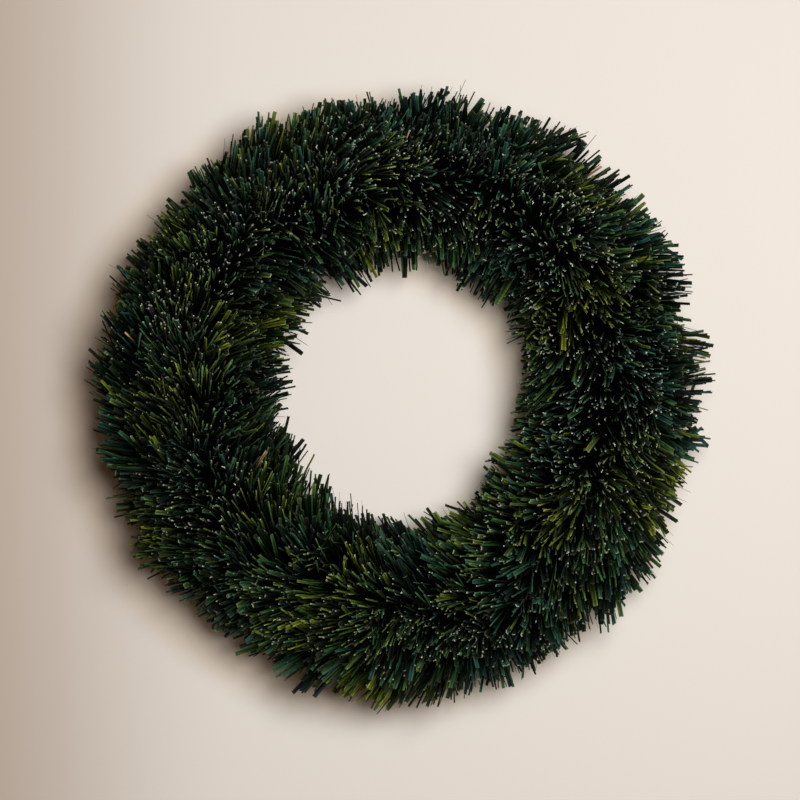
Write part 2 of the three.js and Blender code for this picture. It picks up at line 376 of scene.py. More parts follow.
class WreathStage(PropertyGroup):
    camera_distance: FloatProperty(
        name="Camera distance", description="From the camera down to the wires",
        default=3.0, unit="LENGTH", subtype="DISTANCE")
    view_width: FloatProperty(
        name="View width", description="Width of the view at the wires' height",
        default=0.808, unit="LENGTH", subtype="DISTANCE")
    view_aside: FloatVectorProperty(
        name="View aside", description="From the middle of the ring to under the camera",
        default=(-0.0022, -0.0011), size=2, unit="LENGTH", subtype="XYZ")
    floor: FloatVectorProperty(
        name="Floor", description="Colour of the pale surface", subtype="COLOR",
        default=(0.795, 0.75, 0.70), min=0, max=1)
    # Painted shade: the colour the surface is painted towards on its left, standing in for light falling
    # off there
    left_painted_shade: FloatVectorProperty(
        name="Dusk", description="What the surface darkens to on the left", subtype="COLOR",
        default=(0.26, 0.14, 0.045), min=0, max=1)
    key_power: FloatProperty(
        name="Key light", description="Power of the large soft light", default=51,
        unit="POWER", subtype="POWER")
    key_size: FloatProperty(
        name="Key size", description="Width of the large soft light",
        default=1.05, unit="LENGTH", subtype="DISTANCE")
    key_distance: FloatProperty(
        name="Key distance", description="From the large soft light to the wreath",
        default=2.2, unit="LENGTH", subtype="DISTANCE")
    key_rise: FloatProperty(
        name="Key rise", description="How high the large soft light stands",
        default=math.radians(75), unit="ROTATION", subtype="ANGLE")
    key_turn: FloatProperty(
        name="Key turn", description="Which side the large soft light is on, from +X",
        default=math.radians(28), unit="ROTATION", subtype="ANGLE")
    fill: FloatProperty(
        name="Fill", description="Strength of the even light from all sides", default=0.075)


# One stalk of each kind, of width and length 1

def stalk_mesh(name, section, girths, across, hollow=0):
    """A stalk along Z: it grows from a point, and its cut end is closed.

    Girths are pairs of how far along and how wide. A hollow end sinks to a point inside. The dye
    map holds how far across and how far along the stalk each corner of a face is.
    """
    sides = len(section)
    pairs = [(i, (i + 1) % sides) for i in range(sides)]
    vertices = [(0, 0, 0)]
    for along, girth in girths:
        vertices += [(x * girth, y * girth, along) for x, y in section]
    faces = [(0, 1 + j, 1 + i) for i, j in pairs]
    for ring in range(len(girths) - 1):
        low = 1 + ring * sides
        faces += [(low + i, low + j, low + sides + j, low + sides + i) for i, j in pairs]
    walls = len(faces)
    rim = len(vertices) - sides
    bottom = len(vertices)
    if hollow:
        vertices.append((0, 0, 1 - hollow))
        faces += [(rim + i, rim + j, bottom) for i, j in pairs]
    else:
        faces.append(tuple(range(rim, bottom)))
    mesh = bpy.data.meshes.new(name)
    mesh.from_pydata(vertices, [], faces)
    bends = mesh.attributes.new("along", "FLOAT", "POINT")
    bends.data.foreach_set("value", [z for _, _, z in vertices])
    dye_map = mesh.uv_layers.new(name=DYE_MAP)
    for index, polygon in enumerate(mesh.polygons):
        polygon.use_smooth = bool(hollow) and index < walls
        for corner in polygon.loop_indices:
            vertex = mesh.loops[corner].vertex_index
            if index < walls:
                level = vertices[vertex][2]
            elif hollow:
                level = HOLLOW_LEVEL if vertex == bottom else RIM_LEVEL
            else:
                level = FACE_LEVEL + FACE_SLOPE * section[vertex - rim][1]
            place = across[(vertex - 1) % sides] if 0 < vertex < bottom else 0.5
            dye_map.data[corner].uv = (place, level)
    return mesh


def round_section(sides):
    """The corners of a round section."""
    turns = [math.tau * i / sides for i in range(sides)]
    return [(0.5 * math.cos(turn), 0.5 * math.sin(turn)) for turn in turns]


def blade_mesh():
    """A flat blade, folded along its middle and narrower at its root."""
    folded = [(-0.5, 0.07), (0.0, -0.17), (0.5, 0.07), (0.29, 0.18), (0.0, 0.01), (-0.29, 0.18)]
    girths = ((ROOT_LEVEL, 0.72), (BREAK_LEVEL, 1.0), (1.0, 0.96))
    across = (0.03, 0.5, 0.97, 0.75, 0.5, 0.25)
    return stalk_mesh("blade_template", folded, girths, across)


def reed_mesh():
    """A round reed with a hollow end."""
    girths = ((ROOT_LEVEL, 0.85), (1.0, 1.0))
    across = (0.0, 0.33, 0.67, 1.0, 0.67, 0.33)
    return stalk_mesh("reed_template", round_section(6), girths, across, REED_HOLLOW)


def wisp_mesh():
    """A thin wisp that narrows to its tip."""
    girths = ((ROOT_LEVEL, 1.0), (BREAK_LEVEL, 0.9), (1.0, 0.5))
    across = (0.1, 0.5, 0.9)
    return stalk_mesh("wisp_template", round_section(3), girths, across)


def stalk_templates():
    """One stalk of each kind, in the order of the kinds' numbers."""
    meshes = (blade_mesh(), reed_mesh(), wisp_mesh())
    return [bpy.data.objects.new(mesh.name, mesh) for mesh in meshes]


# Where the stalks of a bunch stand

def faces_of(tilt):
    """How far a tilt points outwards, inwards and up, each from 0 to 1."""
    outside = np.maximum(np.cos(tilt), 0)
    inside = np.maximum(-np.cos(tilt), 0)
    on_top = np.maximum(np.sin(tilt), 0)
    return outside, inside, on_top


def towards(turn, most):
    """An amount that is whole at one turn, nothing beside it and taken off opposite it."""
    amount, at_turn = most
    return amount * np.cos(turn - at_turn)


def wandering(turn, tilt, phase):
    """A slow, even wandering between -1 and 1 over the whole wreath."""
    total = sum(
        height * np.sin(round_ring * turn + round_wires * tilt + shift * phase)
        for round_ring, round_wires, shift, height in WANDERING_WAVES
    )
    return total / WANDERING_HEIGHT


def olive_share(turn):
    """How near each turn is to the bunches that the record gives the yellower grass."""
    share = np.zeros_like(turn)
    for index, node in enumerate(BUNCH_NODES):
        if SLOT_OF_NODE[node] == OLIVE_SLOT:
            away = np.abs((turn - BUNCH_TURN * (index + 0.5) + math.pi) % math.tau - math.pi)
            share = np.maximum(share, np.exp(-(away / (OLIVE_SPREAD * BUNCH_TURN)) ** 2))
    return share


def painted_shade_by_place(turn, tilt):
    """Painted shade: how far stalks at a place tend to the dark dye shades, standing in for how light
    falls. Most inside on the left.
    """
    outside, inside, on_top = faces_of(tilt)
    return (
        1 - DARK_INWARDS * np.cos(tilt) ** 3 + DARK_OVER * np.sin(2 * tilt)
        + inside * towards(turn, DARK_INSIDE)
        + outside * towards(turn, DARK_OUTSIDE)
        + on_top ** 2 * towards(turn, DARK_ON_TOP)
    )


def pale_share(turn, tilt):
    """The share of cut ends that show pale pith: most on top, few inside on the left. Partly painted
    light: more pale ends are set where the wreath lies in shade, inside on the right and outside on the
    lower left.
    """
    outside, inside, on_top = faces_of(tilt)
    placed = 1 + inside * (PALE_INWARDS + towards(turn, PALE_INSIDE))
    placed += outside ** 2 * (PALE_OUTWARDS + towards(turn, PALE_OUTSIDE))
    placed *= 1 + inside * on_top * towards(turn, PALE_INSIDE_ON_TOP)
    return (PALE_SHARE + PALE_SHARE_ON_TOP * on_top ** 5) * placed


def lay_tufts(cut, index, rng):
    """The place, direction, hue and other traits of each tuft of one bunch.

    Tufts are spread evenly over the bunch's share of the trimmed surface. A tuft's direction is
    out of the pinch, leant by the tuft's own angles.
    """
    low_turn = BUNCH_TURN * index
    pinch = low_turn + BUNCH_TURN * rng.uniform(*PINCH_SPAN)
    order = np.arange(cut.tufts)
    even = math.tau * (order + rng.uniform(0, 1, cut.tufts)) / cut.tufts
    even = even - cut.parted / 4 * np.sin(4 * even) + cut.topped / 2 * np.sin(2 * even)
    tilt = even - TUBE_RADIUS / RING_RADIUS * np.sin(even)
    turn = low_turn + BUNCH_TURN * ((order * GOLDEN_SHARE + rng.uniform(0, 1)) % 1)
    outside, inside, on_top = faces_of(tilt)

    hue = HUE_MEAN - HUE_LESS_OUTSIDE * outside
    hue += HUE_WANDERING * wandering(turn, tilt, HUE_PHASE) + HUE_AT_OLIVE * olive_share(turn)
    hue += rng.normal(0, TUFT_HUE_CHANCE, cut.tufts)
    lean = LEAN_INSIDE * inside - cut.over * np.maximum(np.sin(tilt + OVER_TILT), 0)
    lean += cut.lean * (
        LEAN_WANDERING * wandering(turn, tilt, LEAN_PHASE)
        + rng.normal(0, TUFT_LEAN_CHANCE, cut.tufts))
    roll = cut.lean * (
        wandering(turn, tilt, ROLL_PHASE) + rng.normal(0, TUFT_LEAN_CHANCE, cut.tufts))
    roll -= cut.upright * inside * np.maximum(np.cos(turn - UPRIGHT_TURN), 0)
    length_share = rng.uniform(0, 1, cut.tufts)
    dark = np.exp(rng.normal(0, TUFT_DARK_CHANCE, cut.tufts))
    pale = np.exp(rng.normal(TUFT_PALE_MEAN, TUFT_PALE_CHANCE, cut.tufts))
    reeds = REED_SHARE + REED_SHARE_ON_TOP * on_top ** 3
    reeds += np.where(rng.uniform(0, 1, cut.tufts) < REEDY_TUFT_SHARE, REEDY_TUFT_REEDS, 0)

    tip_turn = leant(turn, TUBE_RADIUS * np.cos(tilt), TUBE_RADIUS * np.sin(tilt))
    full = tube_radius(tip_turn)
    tips = ring_point(tip_turn, full * np.cos(tilt), full * np.sin(tilt))
    fan = unit(tips - ring_point(turn + (pinch - turn) * cut.pinched, 0, 0))
    outwards, along, up = ring_axes(tip_turn)
    around = up * np.cos(tilt)[:, None] - outwards * np.sin(tilt)[:, None]
    return {
        "turn": tip_turn,
        "tilt": tilt,
        "tip_radius": ring_radius(tip_turn) + full * np.cos(tilt),
        "fan": unit(fan + along * np.tan(lean)[:, None] + around * np.tan(roll)[:, None]),
        "along": along,
        "around": around,
        "hue": hue,
        "length_share": length_share,
        "dark": dark,
        "pale": pale,
        "reeds": reeds,
    }


def stalk_reach(cut, rng, turn, tilt, tuft_share, is_stray):
    """How far from the wires each stalk is cut: longer or shorter by tuft, and flat at the back."""
    count = len(turn)
    by_tuft = BY_TUFT + BY_TUFT_OUTSIDE * np.cos(tilt)
    mix = (1 - by_tuft) * rng.uniform(0, 1, count) + by_tuft * tuft_share
    share = cut.longest - (cut.longest - cut.shortest) * mix ** LENGTH_CURVE
    full = tube_radius(turn) * share * (REACH - REACH_LESS_OUTSIDE * np.cos(tilt))
    full += np.where(is_stray, cut.stray * rng.uniform(SHORTEST_STRAY, 1, count), 0)
    rise = np.maximum(np.sin(tilt), NEARLY_LEVEL)
    full -= TOP_TRIM * np.maximum(full * rise - TOP_HEIGHT, 0) / rise
    drop = np.maximum(-np.sin(tilt), NEARLY_LEVEL)
    return np.minimum(full, RING_HEIGHT / drop)


def stalk_aims(cut, rng, tuft, aside):
    """The direction of each stalk: its tuft's own, a little apart, and a few astray."""
    count = len(aside)
    jitter = rng.normal(0, AIM_CHANCE, (count, 2))
    astray = rng.uniform(0, 1, count) < cut.crossed
    far = rng.normal(0, ASTRAY_CHANCE, (astray.sum(), 2))
    jitter[astray] += far.clip(-ASTRAY_LIMIT, ASTRAY_LIMIT)
    apart = aside * (TUFT_FAN / TUBE_RADIUS) + jitter
    return unit(tuft["fan"] + tuft["along"] * apart[:, :1] + tuft["around"] * apart[:, 1:])


def stalk_lengths(cut, turn, tilt, aim, full):
    """How long each stalk is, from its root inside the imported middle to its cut."""
    outwards, _, up = ring_axes(turn)
    radial = outwards * np.cos(tilt)[:, None] + up * np.sin(tilt)[:, None]
    straight = np.maximum((aim * radial).sum(1), LEAST_STRAIGHT)
    root = ROOT_REACH * cut.packed * tube_radius(turn)
    return np.maximum(full - root, SHORTEST_STALK) / straight


def stalk_dyes(rng, tuft, turn, tilt, kind):
    """The column of the dye map of each stalk, by its hue, its shade and its end."""
    count = len(turn)
    hue = tuft["hue"] + rng.normal(0, STALK_HUE_CHANCE, count)
    straw = rng.uniform(0, 1, count) > 1 - STRAW_SHARE
    hue_number = np.where(straw, HUES - 1, (hue * (HUES - 1)).astype(int).clip(0, HUES - 2))
    by_kind = np.where(kind == BLADE, PALE_BLADES, PALE_ROUND_STALKS)
    pale_end = rng.uniform(0, 1, count) < pale_share(turn, tilt) * tuft["pale"] * by_kind
    # Painted shade: the dye shade is darkened or lightened by place, standing in for how light falls
    painted_darkness = painted_shade_by_place(turn, tilt) * tuft["dark"]
    shade = (SHADES * rng.uniform(0, 1, count) ** painted_darkness).astype(int)
    return (hue_number * SHADES + shade) * ENDS + pale_end


def lay_stalks(cut, index):
    """The start, direction, length, kind and dye of each stalk of one bunch."""
    rng = np.random.default_rng(SEED + index)
    tufts = lay_tufts(cut, index, rng)
    number = np.repeat(np.arange(cut.tufts), cut.stalks)
    tuft = {trait: values[number] for trait, values in tufts.items()}
    count = len(number)
    widest = 2 * cut.tuft_size
    aside = rng.normal(0, cut.tuft_size, (count, 2)).clip(-widest, widest)
    turn = tuft["turn"] + aside[:, 0] / tuft["tip_radius"]
    tilt = tuft["tilt"] + aside[:, 1] / TUBE_RADIUS
    draw = rng.uniform(0, 1, count)
    kind = np.where(rng.uniform(0, 1, count) < tuft["reeds"], REED, BLADE)
    kind[draw > 1 - WISP_SHARE] = WISP
    is_stray = draw > 1 - STRAY_SHARE
    full = stalk_reach(cut, rng, turn, tilt, tuft["length_share"], is_stray)
    tips = ring_point(turn, full * np.cos(tilt), full * np.sin(tilt))
    aim = stalk_aims(cut, rng, tuft, aside)
    length = stalk_lengths(cut, turn, tilt, aim, full)
    dye = stalk_dyes(rng, tuft, turn, tilt, kind)
    kept = (np.sin(tilt) > THINNED_BELOW) | (rng.uniform(0, 1, count) < cut.below)
    return {
        "start": (tips - aim * length[:, None])[kept],
        "aim": aim[kept],
        "length": length[kept],
        "kind": kind[kept],
        "dye": dye[kept],
    }


def plan_mesh(plan, middle):
    """A bunch's stalks as bare points that carry their direction, length, kind and dye."""
    mesh = bpy.data.meshes.new("plan")
    mesh.vertices.add(len(plan["start"]))
    mesh.vertices.foreach_set("co", (plan["start"] + middle).astype(np.float32).ravel())
    for key, kind, field in (
        ("aim", "FLOAT_VECTOR", "vector"),
        ("length", "FLOAT", "value"),
        ("kind", "INT", "value"),
        ("dye", "INT", "value"),
    ):
        attribute = mesh.attributes.new(key, kind, "POINT")
        values = plan[key].astype(np.int32 if kind == "INT" else np.float32)
        attribute.data.foreach_set(field, values.ravel())
    return mesh


def packed_mesh(cut, index, middle):
    """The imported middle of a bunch, with a bore for the wires and flat ends."""
    rng = np.random.default_rng(PACKED_SEED + index)
    gap = PACKED_GAP / RING_RADIUS
    turns = np.linspace(BUNCH_TURN * index + gap, BUNCH_TURN * (index + 1) - gap, PACKED_STEPS + 1)
    tilts = math.tau * np.arange(PACKED_SIDES) / PACKED_SIDES
    vertices = []
    for turn in turns:
        full = cut.packed * tube_radius(turn) * rng.uniform(*PACKED_UNEVEN, PACKED_SIDES)
        for radius in (full, np.full(PACKED_SIDES, PACKED_BORE)):
            aside = radius * np.cos(tilts)
            up = radius * np.sin(tilts)
            vertices.append(ring_point(leant(turn, aside, up), aside, up))
    faces = []
    step_size = 2 * PACKED_SIDES
    last = step_size * PACKED_STEPS
    for i in range(PACKED_SIDES):
        j = (i + 1) % PACKED_SIDES
        bore_i = PACKED_SIDES + i
        bore_j = PACKED_SIDES + j
        for low in range(0, last, step_size):
            high = low + step_size
            faces.append((low + i, low + j, high + j, high + i))
            faces.append((low + bore_j, low + bore_i, high + bore_i, high + bore_j))
        faces.append((i, bore_i, bore_j, j))
        faces.append((last + j, last + bore_j, last + bore_i, last + i))
    mesh = bpy.data.meshes.new("packed")
    mesh.from_pydata((np.concatenate(vertices) + middle).tolist(), [], faces)
    return mesh


# Nodes

def add_node(tree, kind, inputs=None, **settings):
    """A new node with its settings, and its inputs linked or set by name or place."""
    node = tree.nodes.new(kind)
    for name, value in settings.items():
        setattr(node, name, value)
    shown = [socket for socket in node.inputs if socket.enabled]
    by_name = {socket.name: socket for socket in reversed(shown)}
    for key, value in (inputs or {}).items():
        socket = shown[key] if isinstance(key, int) else by_name[key]
        if isinstance(value, bpy.types.NodeSocket):
            tree.links.new(value, socket)
        else:
            socket.default_value = value
    return node


def result(node):
    """The first output that the node's settings leave in use."""
    return next(socket for socket in node.outputs if socket.enabled)


def calc(tree, operation, *values):
    """A sum on numbers."""
    node = add_node(tree, "ShaderNodeMath", dict(enumerate(values)), operation=operation)
    return result(node)


def vector_calc(tree, operation, *values):
    """A sum on vectors."""
    node = add_node(tree, "ShaderNodeVectorMath", dict(enumerate(values)), operation=operation)
    return result(node)


def scaled(tree, vector, size):
    """A vector made so many times as long."""
    return result(add_node(
        tree, "ShaderNodeVectorMath", {"Vector": vector, "Scale": size}, operation="SCALE"))


def combined(tree, x, y, z=0.0):
    """A vector of three numbers."""
    return result(add_node(tree, "ShaderNodeCombineXYZ", {"X": x, "Y": y, "Z": z}))


def attribute(tree, name, kind):
    """What each point or corner carries under a name."""
    return result(add_node(tree, "GeometryNodeInputNamedAttribute", {"Name": name}, data_type=kind))


ROLL_DRAW, GIRTH_DRAW, SWAY_DRAW, KINK_DRAW, BREAK_DRAW = range(5)


def chance(tree, kind, given, draw, *values):
    """A random value for each stalk, the same on every run. Each draw is another value."""
    place = {"FLOAT": ("Min", "Max"), "FLOAT_VECTOR": ("Min", "Max"), "BOOLEAN": ("Probability",)}
    inputs = dict(zip(place[kind], values))
    inputs["Seed"] = calc(tree, "ADD", given["Seed"], draw)
    return result(add_node(tree, "FunctionNodeRandomValue", inputs, data_type=kind))


def joined(tree, flows):
    """Several flows of geometry as one."""
    join = tree.nodes.new("GeometryNodeJoinGeometry")
    for flow in flows:
        tree.links.new(flow, join.inputs["Geometry"])
    return result(join)


def stored(tree, flow, name, value, kind, domain):
    """Geometry that carries a value under a name."""
    return result(add_node(
        tree, "GeometryNodeStoreNamedAttribute",
        {"Geometry": flow, "Name": name, "Value": value}, data_type=kind, domain=domain))


# The node tree of a bunch

BUNCH_INPUTS = {
    "NodeSocketObject": ("Blade", "Reed", "Wisp", "Packed middle"),
    "NodeSocketFloat": (
        "Blade width", "Reed width", "Wisp width", "Uneven", "Sway", "Kink", "Broken"),
    "NodeSocketInt": ("Seed",),
    "NodeSocketMaterial": ("Grass",),
}
WORKING_ATTRIBUTES = ("aim", "length", "kind", "dye", "sway", "kink", "along")

# Nothing of the wreath is this far sideways, so only heights under 0 are raised
BACK_LIMIT = (-10, -10, 0)


def stand_stalks(tree, given):
    """The stalk of its kind on each point, turned to its direction and rolled by chance."""
    aim = attribute(tree, "aim", "FLOAT_VECTOR")
    aimed = result(add_node(tree, "FunctionNodeAlignRotationToVector", {"Vector": aim}, axis="Z"))
    roll = chance(tree, "FLOAT", given, ROLL_DRAW, 0, math.tau)
    spin = result(add_node(
        tree, "FunctionNodeAxisAngleToRotation", {"Axis": (0, 0, 1), "Angle": roll}))
    turned = result(add_node(
        tree, "FunctionNodeRotateRotation",
        {"Rotation": aimed, "Rotate By": spin}, rotation_space="LOCAL"))
    low = calc(tree, "SUBTRACT", 1, given["Uneven"])
    high = calc(tree, "ADD", 1, given["Uneven"])
    girth = chance(tree, "FLOAT", given, GIRTH_DRAW, low, high)
    length = attribute(tree, "length", "FLOAT")
    kind = attribute(tree, "kind", "INT")
    stands = []
    for number, name in ((BLADE, "Blade"), (REED, "Reed"), (WISP, "Wisp")):
        template = add_node(tree, "GeometryNodeObjectInfo", {"Object": given[name]})
        chosen = result(add_node(
            tree, "FunctionNodeCompare", {"A": kind, "B": number},
            data_type="INT", operation="EQUAL"))
        width = calc(tree, "MULTIPLY", given[name + " width"], girth)
        stands.append(result(add_node(tree, "GeometryNodeInstanceOnPoints", {
            "Points": given["Geometry"],
            "Selection": chosen,
            "Instance": template.outputs["Geometry"],
            "Rotation": turned,
            "Scale": combined(tree, width, width, length),
        })))
    flow = joined(tree, reversed(stands))
    sway = chance(tree, "FLOAT_VECTOR", given, SWAY_DRAW, (-1, -1, -1), (1, 1, 1))
    kink = chance(tree, "FLOAT_VECTOR", given, KINK_DRAW, (-1, -1, -1), (1, 1, 1))
    is_broken = chance(tree, "BOOLEAN", given, BREAK_DRAW, given["Broken"])
    kink = vector_calc(tree, "MULTIPLY", kink, combined(tree, is_broken, is_broken, is_broken))
    flow = stored(tree, flow, "sway", sway, "FLOAT_VECTOR", "INSTANCE")
    flow = stored(tree, flow, "kink", kink, "FLOAT_VECTOR", "INSTANCE")
    return result(add_node(tree, "GeometryNodeRealizeInstances", {"Geometry": flow}))


def bend_stalks(tree, given, flow):
    """Stalks that sway more towards their tips, with broken ones turned aside near the end."""
    along = attribute(tree, "along", "FLOAT")
    sway_size = calc(tree, "MULTIPLY", calc(tree, "MULTIPLY", along, along), given["Sway"])
    bend = scaled(tree, attribute(tree, "sway", "FLOAT_VECTOR"), sway_size)
    past_break = calc(tree, "MAXIMUM", calc(tree, "SUBTRACT", along, BREAK_LEVEL), 0)
    kink_size = calc(
        tree, "MULTIPLY", calc(tree, "DIVIDE", past_break, 1 - BREAK_LEVEL), given["Kink"])
    fold = scaled(tree, attribute(tree, "kink", "FLOAT_VECTOR"), kink_size)
    return result(add_node(
        tree, "GeometryNodeSetPosition",
        {"Geometry": flow, "Offset": vector_calc(tree, "ADD", bend, fold)}))


def flatten_back(tree, flow):
    """Stalks cut off flat where the wreath lies."""
    place = result(add_node(tree, "GeometryNodeInputPosition"))
    above = vector_calc(tree, "MAXIMUM", place, BACK_LIMIT)
    return result(add_node(tree, "GeometryNodeSetPosition", {"Geometry": flow, "Position": above}))


def lay_dye_map(tree, flow):
    """A column of the dye map for each stalk, with its cut at one level whatever its length."""
    spot = add_node(
        tree, "ShaderNodeSeparateXYZ", {"Vector": attribute(tree, DYE_MAP, "FLOAT_VECTOR")})
    across, along = spot.outputs["X"], spot.outputs["Y"]
    in_column = calc(tree, "MULTIPLY_ADD", across, 1 - 2 * COLUMN_MARGIN, COLUMN_MARGIN)
    dye = attribute(tree, "dye", "INT")
    column = calc(tree, "DIVIDE", calc(tree, "ADD", dye, in_column), DYES)
    from_end = calc(tree, "MAXIMUM", calc(tree, "SUBTRACT", 1, along), 0)
    length = attribute(tree, "length", "FLOAT")
    down = calc(tree, "DIVIDE", calc(tree, "MULTIPLY", from_end, length), MAP_SPAN)
    over_end = calc(tree, "MAXIMUM", calc(tree, "SUBTRACT", along, 1), 0)
    cut_face = calc(tree, "MULTIPLY_ADD", over_end, 1 - CUT_LEVEL, CUT_LEVEL)
    level = calc(tree, "MAXIMUM", calc(tree, "SUBTRACT", cut_face, down), 0)
    return stored(tree, flow, DYE_MAP, combined(tree, column, level), "FLOAT2", "CORNER")


def bunch_tree():
    """The node tree that makes a bunch of a plan's points."""
    tree = bpy.data.node_groups.new("fanned_bunch", "GeometryNodeTree")
    tree.is_modifier = True
    tree.interface.new_socket("Geometry", in_out="INPUT", socket_type="NodeSocketGeometry")
    for kind, names in BUNCH_INPUTS.items():
        for name in names:
            tree.interface.new_socket(name, in_out="INPUT", socket_type=kind)
    tree.interface.new_socket("Geometry", in_out="OUTPUT", socket_type="NodeSocketGeometry")
    given = tree.nodes.new("NodeGroupInput").outputs
    flow = stand_stalks(tree, given)
    flow = bend_stalks(tree, given, flow)
    flow = flatten_back(tree, flow)
    flow = lay_dye_map(tree, flow)
    for name in WORKING_ATTRIBUTES:
        flow = result(add_node(
            tree, "GeometryNodeRemoveAttribute", {"Geometry": flow, "Name": name}))
    flow = result(add_node(
        tree, "GeometryNodeSetMaterial", {"Geometry": flow, "Material": given["Grass"]}))
    middle = add_node(tree, "GeometryNodeObjectInfo", {"Object": given["Packed middle"]})
    whole = joined(tree, (middle.outputs["Geometry"], flow))
    out = tree.nodes.new("NodeGroupOutput")
    tree.links.new(whole, out.inputs["Geometry"])
    return tree


# Materials. A span is where a change starts and ends, and shades or a roughness what it goes from
# and to. Cells of noise are counted across a column and up the map

NOISE_SPAN = (0.3, 0.7)

# Grass: the dry, faded and frayed spans and the two depths of the painted shade deep among the stalks are
# measured down from the cut
GRAIN_CELLS = (9.0, 7.0)
GRAIN_SHADES = (0.42, 1.55)
GRAIN_ROUGHNESS = (0.36, 0.55)
GRAIN_BUMP = 0.4
GRAIN_DEPTH = 0.0003
BLOTCH_CELLS = (1.1, 16.0)
BLOTCH_SHADES = (0.75, 1.25)
# Painted shade in a blade's fold, with painted highlight towards its edges
FOLD_SPAN = (0.0, 0.42)
FOLD_SHADE_AND_HIGHLIGHT = (0.45, 1.35)
# Painted shade deep among the stalks: how far down from the cut it is darkest on dull-ended and on
# pale-ended stalks, and what it goes from and to
DULL_PAINTED_SHADE_DEPTH = 0.036
PALE_PAINTED_SHADE_DEPTH = 0.015
PAINTED_DEPTH_SHADES = (0.05, 1.25)
DRY_SPAN = (0.009, 0.001)
DRY_SHADES = (0.94, 1.45)
FADED_SPAN = (0.016, 0.0)
FADED_SHARE = 0.012
FRAYED_SPAN = (0.0016, 0.0002)
FRAYED_SHARE = 0.3
CUT_EDGE_LEVELS = (-0.0001, 0.001)
CUT_SHARE = 0.8
PALE_LEAST = 0.35
PALE_MORE = 0.7
DULL_PALENESS = 0.08
# Painted shade: the cut is painted dark towards the bottom of a reed's hollow, from this share of the way
# over the cut
HOLLOW_FROM = 0.35
GRASS_SHINE = 0.05

# Packed middle and steel
STEMS_SCALE = 420.0
STEMS_SPAN = (0.1, 0.6)
STEMS_LIGHTER = 1.8
STEEL_SCALE = 260.0
STEEL_DULL = 0.45
STEEL_DULL_SPAN = (0.45, 0.7)
STEEL_ROUGHNESS = (0.3, 0.6)

# Surface and backdrop
FLOOR_SCALE = 3.0
FLOOR_DARKER = 0.98
FLOOR_ROUGHNESS = 0.85
FLOOR_SHINE = 0.2
# Painted shade on the left of the surface, fading out far from the middle
LEFT_PAINTED_SHADE_SPAN = (-0.50, -0.16)
LEFT_PAINTED_SHADE_SHARE = 0.52
LEFT_PAINTED_SHADE_END_SPAN = (0.75, 1.3)
# Painted shadow: a warmer ring on the surface beside the wreath, where its shade falls
PAINTED_SHADOW_ASIDE = (0.030, 0.010, 0)
PAINTED_SHADOW_START_SPAN = (0.115, 0.15)
PAINTED_SHADOW_END_SPAN = (0.30, 0.34)
PAINTED_SHADOW_TINT = (1.0, 0.93, 0.84)
GLOW_SPAN = (0.9, 3.2)
FLOOR_GLOW = 0.62
BACKDROP_GLOW = 0.66


def new_material(name):
    """An empty material with its shader linked up."""
    material = bpy.data.materials.new(name)
    material.use_nodes = True
    return material, material.node_tree, material.node_tree.nodes["Principled BSDF"]


def mix_colour(tree, factor, first, second, blend="MIX"):
    """One colour changed by another, each a socket or three numbers."""
    start, end = [
        colour if isinstance(colour, bpy.types.NodeSocket) else (*colour, 1)
        for colour in (first, second)
    ]
    return result(add_node(
        tree, "ShaderNodeMix", {"Factor": factor, "A": start, "B": end},
        data_type="RGBA", blend_type=blend))


def ramp(tree, value, span, out=(0.0, 1.0)):
    """A smooth change between two numbers as the value passes from one end of a span to the other."""
    return result(add_node(
        tree, "ShaderNodeMapRange",
        {
            "Value": value,
            "From Min": span[0], "From Max": span[1],
            "To Min": out[0], "To Max": out[1],
        },
        interpolation_type="SMOOTHSTEP"))


def from_cut(distance):
    """The level of the dye map that lies so far down a stalk from its cut."""
    return CUT_LEVEL - distance / MAP_SPAN


def map_noise(tree, column, level, cells, **settings):
    """Noise on the dye map, with so many cells across a column and so many up the map."""
    place = combined(
        tree, calc(tree, "MULTIPLY", column, DYES * cells[0]),
        calc(tree, "MULTIPLY", level, cells[1]))
    return result(add_node(
        tree, "ShaderNodeTexNoise", {"Vector": place, "Scale": 1.0, **settings}))


def dye_colours(dye):
    """The colour of each shade of each hue, from teal by green to olive, and last straw."""
    teal = np.array(dye.teal)
    green = np.array(dye.green)
    olive = np.array(dye.olive)
    hues = [teal + (green - teal) * t for t in TEAL_TO_GREEN]
    hues += [green + (olive - green) * t for t in GREEN_TO_OLIVE]
    hues.append(np.array(dye.straw))
    return [hue * tint + bare for hue in hues for tint, bare in SHADE_TINTS]


def dye_ramp(tree, column, dye):
    """The dye of each column of the dye map."""
    node = add_node(tree, "ShaderNodeValToRGB", {0: column})
    node.color_ramp.interpolation = "CONSTANT"
    stops = node.color_ramp.elements
    stops.remove(stops[1])
    colours = dye_colours(dye)
    stops[0].position = 0
    stops[0].color = (*colours[0], 1)
    for number, colour in enumerate(colours[1:], 1):
        stops.new(number / len(colours)).color = (*colour, 1)
    return node.outputs["Color"]


